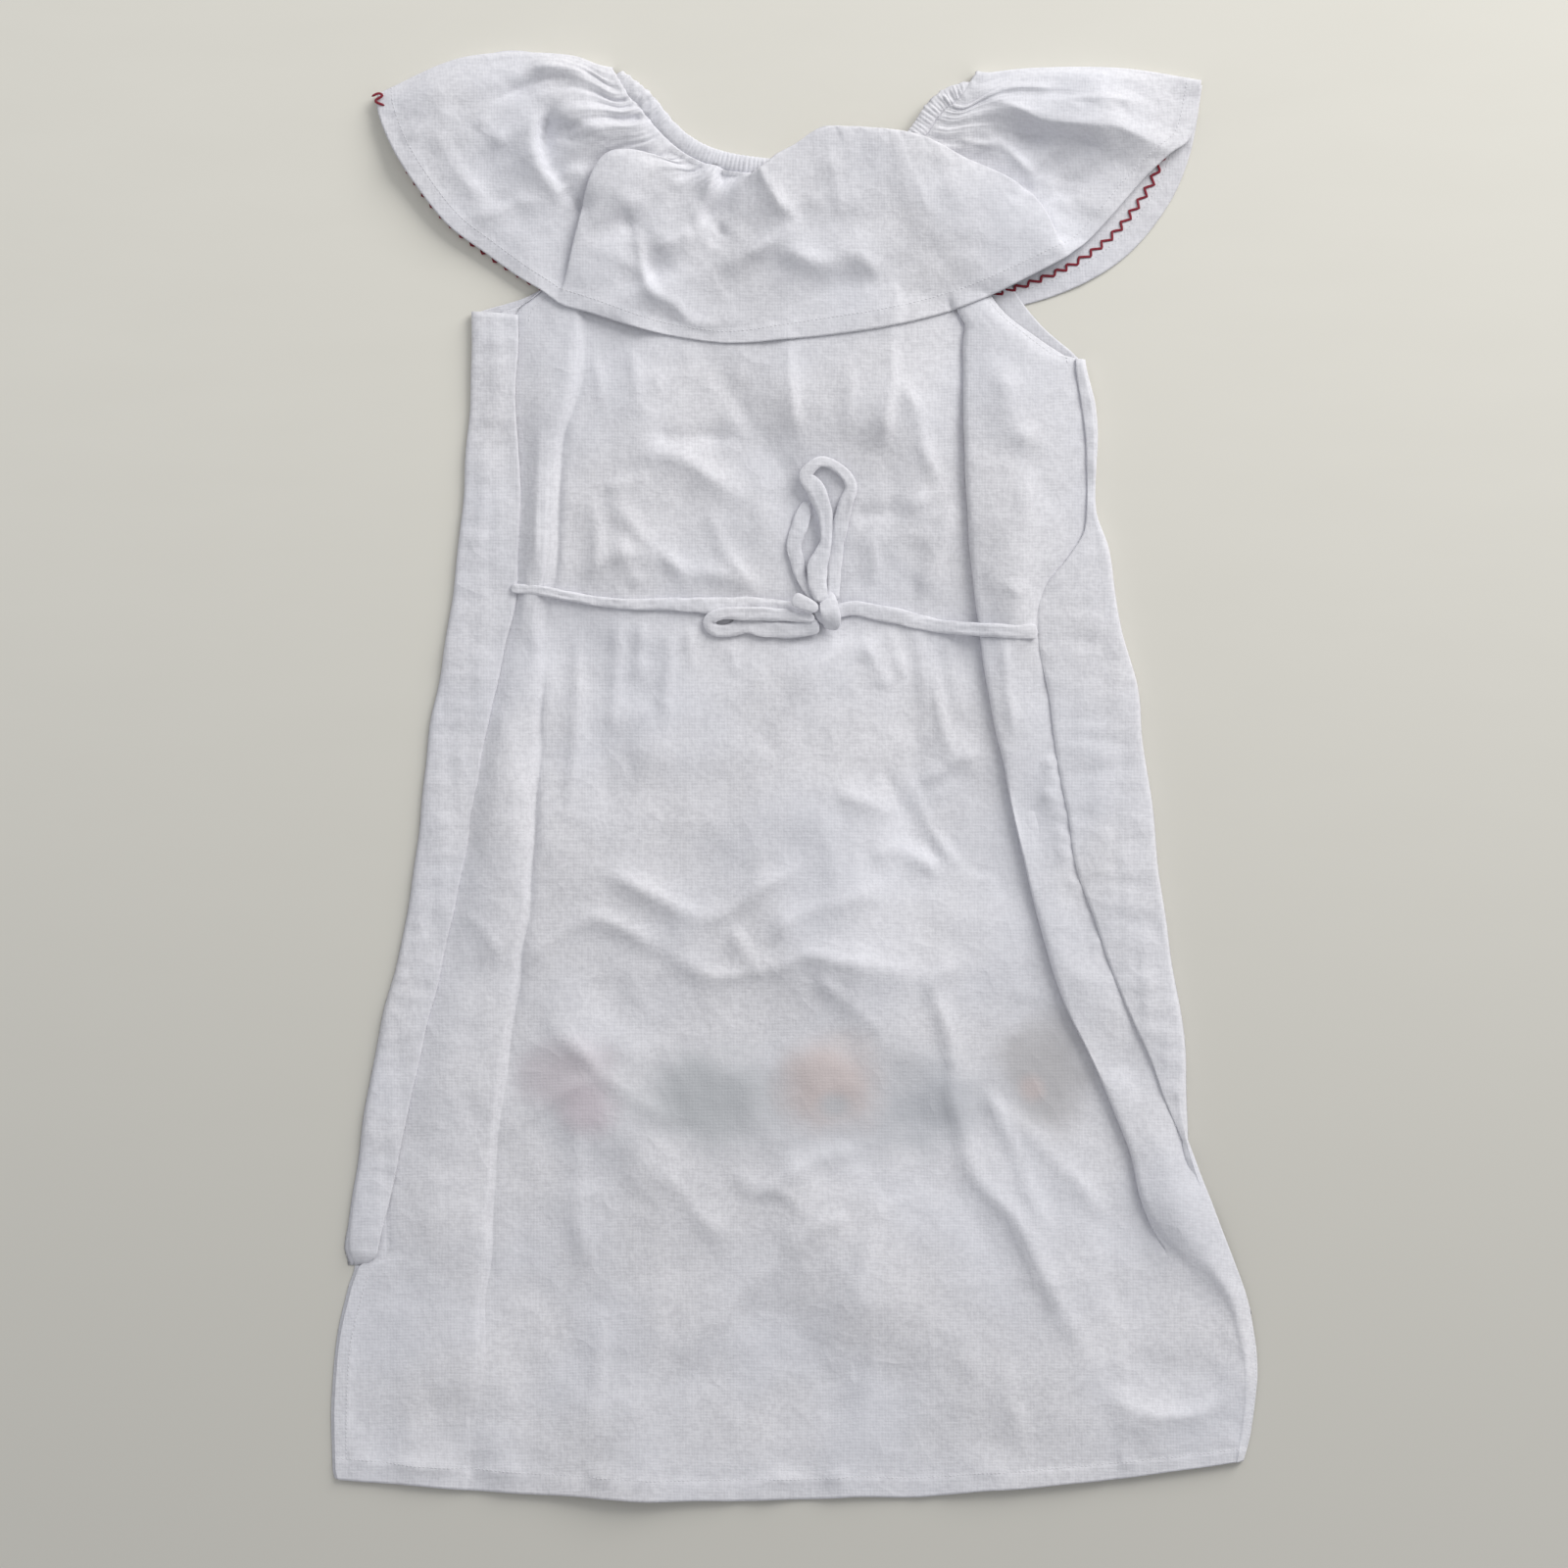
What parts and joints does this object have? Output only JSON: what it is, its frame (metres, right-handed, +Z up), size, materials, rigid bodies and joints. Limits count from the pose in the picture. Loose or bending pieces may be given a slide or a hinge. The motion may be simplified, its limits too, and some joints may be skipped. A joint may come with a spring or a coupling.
{
  "type": "tunic dress",
  "caption": "Sleeveless white cotton tunic dress laid flat, back up, with a gathered neck casing, a wide flounce, waist ties in a bow and side slits at the hem.",
  "frame": {"origin": "the middle of the laid outline, on the surface that the dress lies on", "axes": "+Z up off the surface, +Y along the dress from the hem to the neck, +X across it, to the right seen from above"},
  "size_m": [0.6065, 0.9488, 0.0189],
  "materials": {
    "cotton": "crumpled plain-weave white cotton",
    "trim": "white cotton, gathered on elastic or turned into a narrow tube"
  },
  "bodies": {
    "root": {"front_panel": "cotton", "back_panel": "cotton", "flounce_front": "cotton", "flounce_back": "cotton", "neck_casing": "trim", "waist_tie_left": "trim", "waist_tie_right": "trim", "bow_knot": "trim", "bow_loop_left": "trim", "bow_loop_up": "trim", "bow_end_long": "trim", "bow_end_short": "trim"}
  },
  "joints": []
}
